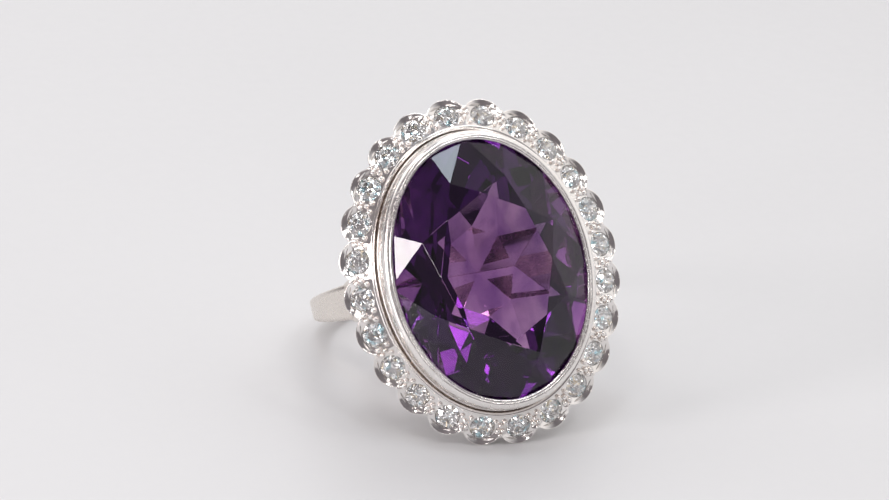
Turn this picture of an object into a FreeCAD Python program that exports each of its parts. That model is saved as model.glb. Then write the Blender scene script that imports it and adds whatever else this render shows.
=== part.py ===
import FreeCAD, Part
import Sketcher
import math, os
from FreeCAD import Vector, Placement, Rotation

# Oval cluster ring.
# Design frame: the finger hole's centre is the origin, the finger's axis is Y,
# +Z points from the finger to the table of the centre stone, X runs across the hand.
# Every piece is built in that frame, and REST then lays the finished ring down the way it
# rests on a flat surface: on two neighbouring scallops of the halo and the back of the shank.

os.makedirs("parts", exist_ok=True)

doc = FreeCAD.newDocument("cluster_ring")

# ------------------------------------------------------------------ driving dimensions
sheet = doc.addObject("Spreadsheet::Sheet", "sheet")
CELLS = [
    # finger hole and shank
    ("bore_rad", 8.20, "finger hole radius"),
    ("shank_rad", 9.20, "outer radius of the shank"),
    ("shank_rise", 0.15, "outer circle's centre above the bore's centre, thickens the shoulders"),
    ("shank_half", 0.80, "half width of the shank at the back"),
    ("shank_half_top", 1.35, "half width of the shank at the shoulders"),
    ("shank_top_z", 6.60, "height where the shoulders reach their full width"),
    ("shank_gap_x", 5.20, "half of the opening under the head"),
    ("shank_round", 0.30, "edge rounding of the shank"),
    # halo
    ("halo_z", 12.60, "height of the small stones' centres over the finger's axis"),
    ("halo_out", 1.60, "the small stones' centres, outside the centre stone's outline"),
    ("halo_tilt", 28.0, "outward slope of the halo, degrees"),
    ("small_rad", 0.81, "small stone radius"),
    ("small_in", 0.09, "small stones' centres, inside the halo's oval along the slope"),
    ("seat_rad", 0.83, "seat radius"),
    ("azure_rad", 0.48, "through hole under each small stone"),
    ("scallop_rad", 1.40, "radius of each scallop"),
    ("scallop_back", 1.26, "radius of each scallop at the underside"),
    ("scallop_in", 0.27, "scallop centre, inside the stone's centre"),
    ("plate_down", 1.25, "thickness of the halo under the stones' girdle plane"),
    ("thread_up", 0.20, "height of the scalloped edge above it"),
    ("edge_wide", 0.08, "width of the scalloped edge left outside each bright-cut dish"),
    ("grain_rad", 0.175, "setting grain radius"),
    # centre stone
    ("stone_len", 17.90, "centre stone length"),
    ("stone_wid", 13.50, "centre stone width"),
    ("girdle_low", 14.56, "underside of the girdle"),
    ("girdle_top", 14.78, "top of the girdle"),
    ("crown_up", 2.10, "crown height"),
    ("pav_down", 6.10, "pavilion depth"),
    ("tier_outer", 0.66, "where the pavilion's halves end, as a share of the outline"),
    ("tier_inner", 0.34, "where its long kites end"),
    ("tier_steep", 7.60, "drop of the long kites' planes from the girdle to the axis"),
    # collet
    ("lip_over", 0.36, "rubbed-over lip, over the stone"),
    ("wall_out", 0.34, "collet wall outside the girdle"),
    ("foot_out", 0.38, "collet foot outside the girdle"),
    # gallery
    ("bow_len", 15.60, "outer length of the base bows"),
    ("bow_wid", 12.20, "outer width of the base bows"),
    ("bow_bar", 1.00, "width of the bow's bar"),
    ("bow_rad", 9.20, "outer radius of the bows about the finger axis"),
    ("pillar_rad", 0.38, "gallery pillar radius"),
    ("fork_thick", 0.95, "shoulder fork thickness"),
    ("fork_half_low", 1.28, "shoulder fork half width at the shank"),
    ("fork_half_top", 1.75, "shoulder fork half width at the halo"),
    ("fork_slot_half", 0.84, "half width of its open slot at the halo"),
    ("fork_slot_z", 7.00, "where the slot starts"),
    ("fork_lean", 4.0, "outward lean of the fork, degrees"),
    ("fork_x", 6.85, "inner face of the fork at the shank"),
]
for row, (alias, value, note) in enumerate(CELLS, start=1):
    sheet.set("A%d" % row, note)
    sheet.set("B%d" % row, str(value))
    sheet.setAlias("B%d" % row, alias)
doc.recompute()


def v(alias):
    return float(sheet.get(alias))


done = []


def keep(obj, label, local=None):
    """The object is a finished piece, in the design frame, with its own name."""
    obj.Label = label
    if local:
        obj.Placement = local
    done.append(obj)
    return obj


def expr(obj, **pairs):
    for prop, text in pairs.items():
        obj.setExpression(prop, text)
    return obj


def sheeted(text):
    """sheet.NAME for every alias written as @NAME."""
    for alias, _, _ in sorted(CELLS, key=lambda c: -len(c[0])):
        text = text.replace("@" + alias, "sheet." + alias)
    return text


# ------------------------------------------------------------------ ovals
def oval_edge(name, major, minor, z):
    """An oval whose long axis lies along Y, at height z. major, minor and z are expressions."""
    e = doc.addObject("Part::Ellipse", name)
    e.MajorRadius, e.MinorRadius = 20, 10
    expr(e, MajorRadius=sheeted(major), MinorRadius=sheeted(minor))
    e.Placement = Placement(Vector(0, 0, 0), Rotation(Vector(0, 0, 1), 90))
    e.setExpression("Placement.Base.z", sheeted(z))
    return e


def oval_loft(name, sections):
    """A solid through ovals given as (grow beyond the centre stone's outline, height)."""
    ovals = [
        oval_edge(
            "%s_%d" % (name, i),
            "@stone_len / 2 + (%s)" % grow,
            "@stone_wid / 2 + (%s)" % grow,
            z,
        )
        for i, (grow, z) in enumerate(sections)
    ]
    loft = doc.addObject("Part::Loft", name)
    loft.Sections = ovals
    loft.Solid, loft.Ruled, loft.Closed = True, True, False
    return loft


def cut(name, base, tool):
    c = doc.addObject("Part::Cut", name)
    c.Base, c.Tool = base, tool
    return c


def fuse(name, shapes):
    f = doc.addObject("Part::MultiFuse", name)
    f.Shapes = shapes
    return f


def common(name, shapes):
    c = doc.addObject("Part::MultiCommon", name)
    c.Shapes = shapes
    return c


def cylinder_y(name, radius, length, up="0"):
    """A cylinder about the finger's axis, raised by up."""
    c = doc.addObject("Part::Cylinder", name)
    expr(c, Radius=sheeted(radius))
    c.Height = length
    c.Placement = Placement(Vector(0, length / 2.0, 0), Rotation(Vector(1, 0, 0), 90))
    c.setExpression("Placement.Base.z", sheeted(up))
    return c


def slab(name, lx, ly, lz, x, y, z):
    b = doc.addObject("Part::Box", name)
    b.Length, b.Width, b.Height = lx, ly, lz
    b.Placement = Placement(Vector(x, y, z), Rotation())
    return b


# ------------------------------------------------------------------ faceted stones
def solid_of(facets):
    faces = [Part.Face(Part.makePolygon(list(f) + [f[0]])) for f in facets]
    shell = Part.Shell(faces)
    solid = Part.Solid(shell)
    if solid.Volume < 0:
        solid.reverse()
    return solid


FACET_TURN = 2.3  # the facets are cut slightly turned from the stone's long axis, degrees


def ring_points(r, z, n, turn, ax, by):
    """n points round the stone, long axis on Y."""
    turn += FACET_TURN if ax != by else 0.0
    return [
        Vector(
            by * r * math.sin(math.radians(turn + 360.0 * i / n)),
            ax * r * math.cos(math.radians(turn + 360.0 * i / n)),
            z,
        )
        for i in range(n)
    ]


def crown(table, star, ax, by, z0, up):
    """Brilliant crown of eight kites, eight stars and sixteen upper girdle facets. Its kites are flat because the star tips lie in their planes."""
    T = ring_points(table, z0 + up, 8, 0, ax, by)
    star_z = up * (1 - star * math.cos(math.radians(22.5))) / (1 - table)
    S = ring_points(star, z0 + star_z, 8, 22.5, ax, by)
    G = ring_points(1.0, z0, 16, 0, ax, by)
    facets = [T]
    for k in range(8):
        n = (k + 1) % 8
        facets.append([T[k], T[n], S[k]])
        facets.append([T[k], S[k], G[2 * k], S[(k - 1) % 8]])
        facets.append([S[k], G[2 * k], G[2 * k + 1]])
        facets.append([S[k], G[2 * k + 1], G[(2 * k + 2) % 16]])
    return facets, G


def brilliant(table, star, ax, by, z_low, z_top, up, down, lower):
    """Round or oval brilliant with a kite-and-halves pavilion."""
    facets, G = crown(table, star, ax, by, z_top, up)
    B = ring_points(1.0, z_low, 16, 0, ax, by)
    for i in range(16):
        j = (i + 1) % 16
        facets.append([G[i], G[j], B[j], B[i]])
    culet = Vector(0, 0, z_low - down)
    low_z = z_low - down * (1 - lower * math.cos(math.radians(22.5)))
    L = ring_points(lower, low_z, 8, 22.5, ax, by)
    for k in range(8):
        facets.append([B[2 * k], L[(k - 1) % 8], culet, L[k]])
        facets.append([L[k], B[2 * k], B[2 * k + 1]])
        facets.append([L[k], B[2 * k + 1], B[(2 * k + 2) % 16]])
    return facets


def old_oval(table, star, ax, by, z_low, z_top, up, down, outer, inner, steep):
    """Brilliant crown over a two-tier pavilion: sixteen halves, eight long kites, eight triangles and eight culet facets. steep is how far the long kites' planes drop from the girdle to the axis."""
    facets, G = crown(table, star, ax, by, z_top, up)
    B = ring_points(1.0, z_low, 16, 0, ax, by)
    for i in range(16):
        j = (i + 1) % 16
        facets.append([G[i], G[j], B[j], B[i]])
    L = ring_points(outer, z_low - steep * (1 - outer * math.cos(math.radians(22.5))), 8, 22.5, ax, by)
    M = ring_points(inner, z_low - steep * (1 - inner), 8, 0, ax, by)
    culet = Vector(0, 0, z_low - down)
    for k in range(8):
        n = (k + 1) % 8
        facets.append([B[2 * k], L[(k - 1) % 8], M[k], L[k]])
        facets.append([L[k], B[2 * k], B[2 * k + 1]])
        facets.append([L[k], B[2 * k + 1], B[(2 * k + 2) % 16]])
        facets.append([M[k], L[k], M[n]])
        facets.append([M[k], M[n], culet])
    return facets


# centre stone: an old oval brilliant
A, B = v("stone_len") / 2, v("stone_wid") / 2
stone = doc.addObject("Part::Feature", "centre_stone")
stone.Shape = solid_of(
    old_oval(0.56, 0.715, A, B, v("girdle_low"), v("girdle_top"), v("crown_up"), v("pav_down"), v("tier_outer"), v("tier_inner"), v("tier_steep"))
)
keep(stone, "centre_stone")

# ------------------------------------------------------------------ collet and its bearer
outer = oval_loft(
    "collet_outer",
    [
        ("-0.50", "@halo_z - 1.75"),
        ("@foot_out", "@halo_z - 1.15"),
        ("@foot_out", "@halo_z + 0.92"),
        ("@wall_out", "@halo_z + 0.98"),
        ("@wall_out", "@halo_z + 1.95"),
        ("@wall_out - 0.05", "@halo_z + 2.20"),
        ("@wall_out - 0.16", "@halo_z + 2.40"),
        ("@wall_out - 0.32", "@halo_z + 2.53"),
        ("@wall_out - 0.50", "@halo_z + 2.56"),
    ],
)
inner = oval_loft(
    "collet_inner",
    [
        ("-0.95", "@halo_z - 1.85"),
        ("-0.50", "@halo_z - 1.05"),
        ("-0.50", "@halo_z + 0.60"),
        ("0.015", "@halo_z + 0.61"),
        ("0.015", "@girdle_top"),
        ("-@lip_over", "@girdle_top + 0.285"),
        ("-@lip_over + 0.15", "@halo_z + 2.58"),
    ],
)
keep(cut("centre_collet", outer, inner), "centre_collet")

# bearer: the ledge soldered inside the collet, cut to the pavilion's angle
bearer_out = oval_loft("bearer_outer", [("0.005", "@halo_z + 0.62"), ("0.005", "@girdle_low - 0.02")])
bearer_in = oval_loft(
    "bearer_inner",
    [("-0.60", "@halo_z + 0.50"), ("-0.60", "@halo_z + 1.00"), ("-0.04", "@girdle_low - 0.01"), ("-0.04", "@girdle_low + 0.2")],
)
keep(cut("collet_bearer", bearer_out, bearer_in), "collet_bearer")

# ------------------------------------------------------------------ where the small stones sit
COUNT = 24
HA, HB = A + v("halo_out"), B + v("halo_out")


def even_steps(count, shift):
    """Angles that space count points evenly along the halo's oval."""
    fine = 7200
    total, marks = 0.0, [0.0]
    for i in range(fine):
        t = 2 * math.pi * (i + 0.5) / fine
        total += math.hypot(HB * math.cos(t), HA * math.sin(t)) * 2 * math.pi / fine
        marks.append(total)
    out = []
    k = 0
    for n in range(count):
        want = total * (n + shift) / count
        while marks[k + 1] < want:
            k += 1
        f = (want - marks[k]) / (marks[k + 1] - marks[k])
        out.append(2 * math.pi * (k + f) / fine)
    return out


def spot(t, out=0.0, along=0.0):
    """Point on the halo's oval at angle t, moved out from it and along it, with its outward direction."""
    x, y = HB * math.sin(t), HA * math.cos(t)
    nx, ny = math.sin(t) / HB, math.cos(t) / HA
    n = math.hypot(nx, ny)
    nx, ny = nx / n, ny / n
    return x + nx * out + ny * along, y + ny * out - nx * along, nx, ny


stones_at = even_steps(COUNT, 0.0)
gaps_at = even_steps(COUNT, 0.5)
TILT = math.radians(v("halo_tilt"))


def slope_frame(t, out=0.0, along=0.0, up=0.0):
    """Placement on the sloped halo at angle t: local X runs outward down the slope, local Z stands on it."""
    x, y, nx, ny = spot(t)
    down = Vector(nx * math.cos(TILT), ny * math.cos(TILT), -math.sin(TILT))
    stand = Vector(nx * math.sin(TILT), ny * math.sin(TILT), math.cos(TILT))
    side = stand.cross(down)
    place = Vector(x, y, v("halo_z")) + down * out + side * along + stand * up
    return Placement(place, Rotation(down, side, stand, "ZXY"))


def on_slope(out, up):
    """Section of the sloped halo: growth beyond the centre stone's outline, and height, for a point out along the slope and up from it."""
    grow = v("halo_out") + out * math.cos(TILT) + up * math.sin(TILT)
    return "%.4f" % grow, "@halo_z + (%.4f)" % (up * math.cos(TILT) - out * math.sin(TILT))

# ------------------------------------------------------------------ halo plate
cups = []
for i, t in enumerate(stones_at):
    c = doc.addObject("Part::Cone", "scallop_%02d" % (i + 1))
    expr(c, Radius1="sheet.scallop_back", Radius2="sheet.scallop_rad", Height=sheeted("@plate_down + @thread_up"))
    c.Placement = slope_frame(t, -v("scallop_in"), 0.0, -v("plate_down"))
    cups.append(c)
# the band that joins the scallops
band_out = oval_loft("band_outer", [on_slope(0.36, -1.02), on_slope(0.46, 0.10), on_slope(-1.30, 0.10)])
cup_group = fuse("cup_group", cups + [band_out])


def oval_prism(name, major, minor, low, tall):
    e = oval_edge(name + "_edge", major, minor, low)
    p = doc.addObject("Part::Extrusion", name)
    p.Base = e
    p.DirMode, p.Dir, p.Solid = "Custom", Vector(0, 0, 1), True
    expr(p, LengthFwd=sheeted(tall))
    return p


# its hollow underside
under = oval_loft("band_under", [on_slope(0.90, -2.2), on_slope(0.40, -1.02), on_slope(-1.25, -1.02), on_slope(-1.45, -1.02)])
# the ground between the stones is cut down below the scalloped edge
ground_out = oval_loft("ground_outer", [on_slope(0.30, 0.0), on_slope(0.55, 0.9), ("@halo_out + 0.8", "@halo_z + 1.6")])
ground_core = oval_loft("ground_core", [on_slope(0.32, -0.011), on_slope(-1.02, 0.0), on_slope(-2.2, 0.0)])
ground = cut("ground", ground_out, ground_core)
# smooth rim round the collet, with the fine dark joint between the two
rim = oval_loft("rim_outer", [on_slope(-0.78, -0.55), on_slope(-0.98, 0.17), on_slope(-1.40, 0.17)])
opening = oval_loft(
    "plate_opening",
    [
        ("@foot_out + 0.004", "@halo_z - 2.2"),
        ("@foot_out + 0.004", "@halo_z + 0.18"),
        ("@foot_out + 0.10", "@halo_z + 0.30"),
        ("@foot_out + 0.10", "@halo_z + 1.8"),
    ],
)

# seat of one small stone: straight wall, cone, through hole, azure flare
sr, ar = v("seat_rad"), v("azure_rad")
seat_profile = [
    Vector(0, 0, 0.45),
    Vector(sr, 0, 0.45),
    Vector(sr, 0, -0.06),
    Vector(ar, 0, -0.06 - (sr - ar) * math.tan(math.radians(42.0))),
    Vector(ar, 0, -v("plate_down") + 0.30),
    Vector(ar + 0.22, 0, -v("plate_down") - 0.01),
    Vector(0, 0, -v("plate_down") - 0.01),
]
seat_face = Part.Face(Part.makePolygon(seat_profile + [seat_profile[0]]))
seat_solid = seat_face.revolve(Vector(0, 0, 0), Vector(0, 0, 1), 360)
# bright-cut dish of one small stone: from the seat out to a thin edge along the whole scallop
top = v("thread_up")
reach = (top + 0.25) / (top + 0.005)


def dish_ring(f):
    """Circle between the seat, f = 0, and the inner line of the scalloped edge, f = 1."""
    r = sr + f * (v("scallop_rad") - v("edge_wide") - sr)
    x = -v("small_in") + f * (v("small_in") - v("scallop_in"))
    return Part.Wire(Part.makeCircle(r, Vector(x, 0, -0.005 + f * (top + 0.005)), Vector(0, 0, 1)))


dish_solid = Part.makeLoft([dish_ring(0.0), dish_ring(reach)], True, True)
dishes = []
for t in stones_at:
    c = dish_solid.copy()
    c.Placement = slope_frame(t)
    dishes.append(c)
dish_cutters = doc.addObject("Part::Feature", "dish_cutters")
dish_cutters.Shape = Part.makeCompound(dishes)
cutters = []
for t in stones_at:
    c = seat_solid.copy()
    c.Placement = slope_frame(t, -v("small_in"))
    cutters.append(c)
seats = doc.addObject("Part::Feature", "seat_cutters")
seats.Shape = Part.makeCompound(cutters)

plate_body = cut("plate_body", cup_group, under)
plate_0 = cut("plate_0", plate_body, ground)
plate_1 = cut("plate_1", plate_0, dish_cutters)
plate_2 = fuse("plate_2", [plate_1, rim])
plate_3 = cut("plate_3", plate_2, opening)
plate_4 = cut("plate_4", plate_3, seats)

# grains: raised from the ground between neighbouring stones and pushed over their edges
GRAINS = [(0.0, 0.40), (-0.187, 0.06), (0.187, 0.06), (0.0, -0.30), (-0.32, -0.60), (0.32, -0.60)]
doc.recompute()
grains = []
for t in gaps_at:
    for along, out in GRAINS:
        g = Part.makeSphere(v("grain_rad"))
        g.Placement = slope_frame(t, out, along, 0.105)
        grains.append(g)
halo = doc.addObject("Part::Feature", "halo_plate")
halo.Shape = plate_4.Shape.fuse(grains).Solids[0]
keep(halo, "halo_plate")

# ------------------------------------------------------------------ small stones
small_facets = brilliant(0.50, 0.70, v("small_rad"), v("small_rad"), -0.045, 0.0, 0.29, 0.64, 0.30)
small = solid_of(small_facets)
for i, t in enumerate(stones_at):
    d = doc.addObject("Part::Feature", "small_stone_%02d" % (i + 1))
    d.Shape = small.copy()
    spin = Placement(Vector(0, 0, 0), Rotation(Vector(0, 0, 1), (i * 137.5) % 45.0))
    keep(d, "small_stone_%02d" % (i + 1), slope_frame(t, -v("small_in"), 0.0, 0.002).multiply(spin))

# ------------------------------------------------------------------ shank
shank = doc.addObject("PartDesign::Body", "shank")
doc.recompute()


def plane_of(body, role):
    return next(f for f in body.Origin.OriginFeatures if f.Role == role)


def sketch_on(body, role, name):
    s = body.newObject("Sketcher::SketchObject", name)
    s.AttachmentSupport = (plane_of(body, role), [""])
    s.MapMode = "FlatFace"
    return s


ring = sketch_on(shank, "XZ_Plane", "shank_ring")
ring.addGeometry(Part.Circle(Vector(0, 0, 0), Vector(0, 0, 1), 8.2))
ring.addGeometry(Part.Circle(Vector(0, 0.15, 0), Vector(0, 0, 1), 9.2))
ring.addConstraint(Sketcher.Constraint("Coincident", 0, 3, -1, 1))
ring.addConstraint(Sketcher.Constraint("Radius", 0, 8.2))
ring.renameConstraint(1, "bore")
ring.addConstraint(Sketcher.Constraint("Radius", 1, 9.2))
ring.renameConstraint(2, "outside")
ring.addConstraint(Sketcher.Constraint("DistanceX", -1, 1, 1, 3, 0.0))
ring.addConstraint(Sketcher.Constraint("DistanceY", -1, 1, 1, 3, 0.15))
ring.renameConstraint(4, "rise")
ring.setExpression("Constraints.bore", "sheet.bore_rad")
ring.setExpression("Constraints.outside", "sheet.shank_rad")
ring.setExpression("Constraints.rise", "sheet.shank_rise")
doc.recompute()
band = shank.newObject("PartDesign::Pad", "shank_band")
band.Profile = ring
band.Length = 3.0
band.setExpression("Length", "2 * sheet.shank_half_top")
band.Midplane = True
doc.recompute()

# both flanks taper from the shoulders to the back
for side in (1, -1):
    s = sketch_on(shank, "YZ_Plane", "shank_flank_%s" % ("right" if side > 0 else "left"))
    hb, ht, zt = v("shank_half"), v("shank_half_top"), v("shank_top_z")
    pts = [(hb, -12.0), (hb, -1.0), (ht, zt), (4.0, zt), (4.0, -12.0)]
    pts = [Vector(side * a, b, 0) for a, b in pts]
    for k in range(5):
        s.addGeometry(Part.LineSegment(pts[k], pts[(k + 1) % 5]))
    for k in range(5):
        s.addConstraint(Sketcher.Constraint("Coincident", k, 2, (k + 1) % 5, 1))
    s.addConstraint(Sketcher.Constraint("Vertical", 0))
    s.addConstraint(Sketcher.Constraint("Horizontal", 2))
    s.addConstraint(Sketcher.Constraint("Vertical", 3))
    s.addConstraint(Sketcher.Constraint("Horizontal", 4))
    a = s.addConstraint(Sketcher.Constraint("DistanceX", -1, 1, 0, 1, side * hb))
    s.renameConstraint(a, "back_half")
    b = s.addConstraint(Sketcher.Constraint("DistanceX", -1, 1, 2, 1, side * ht))
    s.renameConstraint(b, "top_half")
    c = s.addConstraint(Sketcher.Constraint("DistanceY", -1, 1, 2, 1, zt))
    s.renameConstraint(c, "top_z")
    s.addConstraint(Sketcher.Constraint("DistanceY", 0, 2, -1, 1, 1.0))
    s.addConstraint(Sketcher.Constraint("DistanceY", 0, 1, -1, 1, 12.0))
    s.addConstraint(Sketcher.Constraint("DistanceX", -1, 1, 3, 1, side * 4.0))
    s.setExpression("Constraints.back_half", "%d * sheet.shank_half" % side)
    s.setExpression("Constraints.top_half", "%d * sheet.shank_half_top" % side)
    s.setExpression("Constraints.top_z", "sheet.shank_top_z")
    doc.recompute()
    before = shank.Shape.Volume
    p = shank.newObject("PartDesign::Pocket", "shank_taper_%s" % ("right" if side > 0 else "left"))
    p.Profile = s
    p.Type = "ThroughAll"
    p.Midplane = True
    doc.recompute()
    assert shank.Shape.Volume < before - 1.0, "the taper cut nothing"

# the shank is open under the head
s = sketch_on(shank, "XZ_Plane", "shank_opening")
g = v("shank_gap_x")
pts = [Vector(-g, 2.0, 0), Vector(g, 2.0, 0), Vector(g, 12.0, 0), Vector(-g, 12.0, 0)]
for k in range(4):
    s.addGeometry(Part.LineSegment(pts[k], pts[(k + 1) % 4]))
for k in range(4):
    s.addConstraint(Sketcher.Constraint("Coincident", k, 2, (k + 1) % 4, 1))
s.addConstraint(Sketcher.Constraint("Horizontal", 0))
s.addConstraint(Sketcher.Constraint("Horizontal", 2))
s.addConstraint(Sketcher.Constraint("Vertical", 1))
s.addConstraint(Sketcher.Constraint("Vertical", 3))
s.addConstraint(Sketcher.Constraint("DistanceY", -1, 1, 0, 1, 2.0))
s.addConstraint(Sketcher.Constraint("DistanceY", -1, 1, 2, 1, 12.0))
a = s.addConstraint(Sketcher.Constraint("DistanceX", -1, 1, 1, 1, g))
s.renameConstraint(a, "right_x")
b = s.addConstraint(Sketcher.Constraint("DistanceX", 3, 1, -1, 1, g))
s.renameConstraint(b, "left_x")
s.setExpression("Constraints.right_x", "sheet.shank_gap_x")
s.setExpression("Constraints.left_x", "sheet.shank_gap_x")
doc.recompute()
before = shank.Shape.Volume
p = shank.newObject("PartDesign::Pocket", "shank_mouth")
p.Profile = s
p.Type = "ThroughAll"
p.Midplane = True
doc.recompute()
assert shank.Shape.Volume < before - 5.0, "the mouth cut nothing"

# rounded outer edges
edges = []
for n, e in enumerate(shank.Shape.Edges, start=1):
    mid = e.valueAt((e.FirstParameter + e.LastParameter) / 2)
    r = math.hypot(mid.x, mid.z - v("shank_rise"))
    if abs(r - v("shank_rad")) < 0.02 and abs(mid.y) > 0.5 and e.Length > 2.0:
        edges.append("Edge%d" % n)
soft = shank.newObject("PartDesign::Fillet", "shank_soft_edges")
soft.Base = (p, edges)
soft.Radius = 0.3
soft.setExpression("Radius", "sheet.shank_round")
shank.Tip = soft
doc.recompute()

# ------------------------------------------------------------------ base bows of the gallery
bow_outer = oval_prism("bow_outer", "@bow_len / 2", "@bow_wid / 2", "2", "10")
bow_inner = oval_prism("bow_inner", "@bow_len / 2 - @bow_bar", "@bow_wid / 2 - @bow_bar", "1", "12")
bow_ring = cut("bow_ring", bow_outer, bow_inner)
bow_shell = cut("bow_shell", cylinder_y("bow_top", "@bow_rad", 30), cylinder_y("bow_bore", "@bore_rad", 32))
shank_copy = doc.addObject("Part::Feature", "shank_blank")
shank_copy.Shape = shank.Shape.copy()
for name, y in (("base_bow_north", 0.0), ("base_bow_south", -12.0)):
    half = slab(name + "_half", 20, 12, 12, -10, y, 1)
    bow = common(name + "_arc", [bow_ring, bow_shell, half])
    keep(cut(name, bow, shank_copy), name)
keep(shank, "shank")

# ------------------------------------------------------------------ gallery pillars
bow_core = cylinder_y("below_gallery", "@bow_rad", 40)
number = 0
for g in (0, 2, 4, 7, 9, 11, 12, 14, 16, 19, 21, 23):
    number += 1
    top = slope_frame(gaps_at[g], -0.35, 0.0, -0.95).Base
    x, y, nx, ny = spot(gaps_at[g])
    bx = x / HB * (v("bow_wid") - v("bow_bar")) / 2
    by = y / HA * (v("bow_len") - v("bow_bar")) / 2
    bottom = Vector(bx, by, math.sqrt(v("bow_rad") ** 2 - bx**2))
    axis = Vector(top).sub(bottom)
    length = axis.Length
    axis.normalize()
    c = doc.addObject("Part::Cylinder", "pillar_blank_%02d" % number)
    expr(c, Radius="sheet.pillar_rad")
    c.Height = length + 0.7
    c.Placement = Placement(bottom - axis * 0.7, Rotation(Vector(0, 0, 1), axis))
    tops = slab("pillar_top_%02d" % number, 5, 5, 3, 0, 0, 0)
    tops.Placement = slope_frame(gaps_at[g], -3.0, -2.5, -v("plate_down") + 0.015)
    keep(cut("gallery_pillar_%02d" % number, cut("pillar_low_%02d" % number, c, bow_core), tops), "gallery_pillar_%02d" % number)

# ------------------------------------------------------------------ forked shoulders
shank_core = cylinder_y("shank_core", "@shank_rad", 40, "@shank_rise")
for name, side in (("shoulder_fork_left", -1), ("shoulder_fork_right", 1)):
    body = doc.addObject("PartDesign::Body", name + "_blank")
    doc.recompute()
    s = sketch_on(body, "YZ_Plane", name + "_outline")
    z0, z1 = 4.6, 12.6
    zp = 11.3
    lo, hi, sh, sz = v("fork_half_low"), v("fork_half_top"), v("fork_slot_half"), v("fork_slot_z")
    grow = (hi - lo) / (zp - z0)
    top_half = lo + grow * (z1 - z0)
    slot_top = sh / (zp - sz) * (z1 - sz)
    pts = [(-lo, z0), (lo, z0), (top_half, z1), (slot_top, z1), (0, sz), (-slot_top, z1), (-top_half, z1)]
    pts = [Vector(a, b, 0) for a, b in pts]
    for k in range(7):
        s.addGeometry(Part.LineSegment(pts[k], pts[(k + 1) % 7]))
    for k in range(7):
        s.addConstraint(Sketcher.Constraint("Coincident", k, 2, (k + 1) % 7, 1))
    doc.recompute()
    pad = body.newObject("PartDesign::Pad", name + "_pad")
    pad.Profile = s
    pad.Length = 1.0
    pad.setExpression("Length", "sheet.fork_thick")
    doc.recompute()
    # the slot's foot and all long edges are softened
    long_edges = [
        "Edge%d" % n
        for n, e in enumerate(body.Shape.Edges, start=1)
        if e.Length > 3.5 and abs(e.Vertexes[0].X - e.Vertexes[-1].X) < 1e-6
    ]
    f = body.newObject("PartDesign::Fillet", name + "_soft")
    f.Base = (pad, long_edges)
    f.Radius = 0.16
    body.Tip = f
    doc.recompute()
    lean = v("fork_lean") * side
    x0 = v("fork_x") if side > 0 else -v("fork_x") - v("fork_thick")
    pivot = Vector(x0 if side > 0 else x0 + v("fork_thick"), 0, 5.5)
    r = Rotation(Vector(0, 1, 0), lean)
    move = Placement(Vector(x0, 0, 0), Rotation())
    turn = Placement(pivot, r).multiply(Placement(pivot * -1, Rotation()))
    body.Placement = turn.multiply(move)
    doc.recompute()
    tops = slab(name + "_top", 8, 8, 5, 0, 0, 0)
    tops.Placement = slope_frame(stones_at[6 if side > 0 else 18], -4.0, -4.0, -v("plate_down") - 0.05)
    keep(cut(name, cut(name + "_long", body, shank_core), tops), name)

doc.recompute()

# ------------------------------------------------------------------ at rest on a flat surface
# The ring lies on the halo's scallops 13 and 14 and on the back of the shank, table up and forward.
feet = [cups[12].Shape.tessellate(0.002)[0], cups[13].Shape.tessellate(0.002)[0], shank.Shape.tessellate(0.004)[0]]
up = Vector(0.17, 0.88, 0.44)
for step in range(60):
    low = [min(points, key=lambda p: p.dot(up)) for points in feet]
    normal = (low[1] - low[0]).cross(low[2] - low[0])
    normal.normalize()
    if normal.dot(up) < 0:
        normal = normal * -1
    moved = (normal - up).Length
    up = (up + normal * 2).normalize() if step < 40 else normal
    if moved < 1e-9:
        break
front = Vector(0, 0, 1) - up * up.z
front.normalize()
side = up.cross(front * -1) * -1
turn = Placement(Vector(0, 0, 0), Rotation(side, front * -1, up, "ZXY").inverted())
outline = cups + [shank, stone] + [o for o in done if o.Label == "centre_collet"]
points = [turn.multVec(p) for o in outline for p in o.Shape.tessellate(0.01)[0]]
xs, ys, zs = [p.x for p in points], [p.y for p in points], [p.z for p in points]
shift = Vector(-(min(xs) + max(xs)) / 2, -(min(ys) + max(ys)) / 2, -turn.multVec(low[0]).z)
REST = Placement(shift, Rotation()).multiply(turn)
for o in done:
    o.Placement = REST.multiply(o.Placement)
doc.recompute()
print("at rest: table up %.2f deg, finger axis up %.2f deg" % (math.degrees(math.asin(up.z)), math.degrees(math.asin(up.y))))
print("contacts", [tuple(round(c, 3) for c in REST.multVec(p)) for p in low])
print("box", [round(max(c) - min(c), 3) for c in (xs, ys, zs)], "lowest", round(min(zs) + shift.z, 4))
for name, p in (("finger hole", Vector(0, 0, 0)), ("stone", Vector(0, 0, v("halo_z")))):
    print(name, tuple(round(c, 4) for c in REST.multVec(p)))
for name, p in (("X", Vector(1, 0, 0)), ("Y", Vector(0, 1, 0)), ("Z", Vector(0, 0, 1))):
    print("design", name, tuple(round(c, 6) for c in REST.Rotation.multVec(p)))

# ------------------------------------------------------------------ checks, then one STEP per piece
bad = [o.Name for o in doc.Objects if "Invalid" in o.State or "Error" in o.State]
assert not bad, "failed objects: %s" % bad
for o in done:
    sh = o.Shape
    assert not sh.isNull() and sh.isValid(), "%s has a bad shape" % o.Label
    assert len(sh.Solids) == 1, "%s has %d solids" % (o.Label, len(sh.Solids))
    assert sh.Volume > 0, "%s is inside out" % o.Label
for o in done:
    o.Shape.exportStep("parts/%s.step" % o.Label)
    b = o.Shape.BoundBox
    print("%-22s %9.3f mm3  x %.2f..%.2f y %.2f..%.2f z %.2f..%.2f" % (o.Label, o.Shape.Volume, b.XMin, b.XMax, b.YMin, b.YMax, b.ZMin, b.ZMax))
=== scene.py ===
import math

import bmesh
import bpy
import numpy as np
from mathutils import Matrix, Vector

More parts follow.
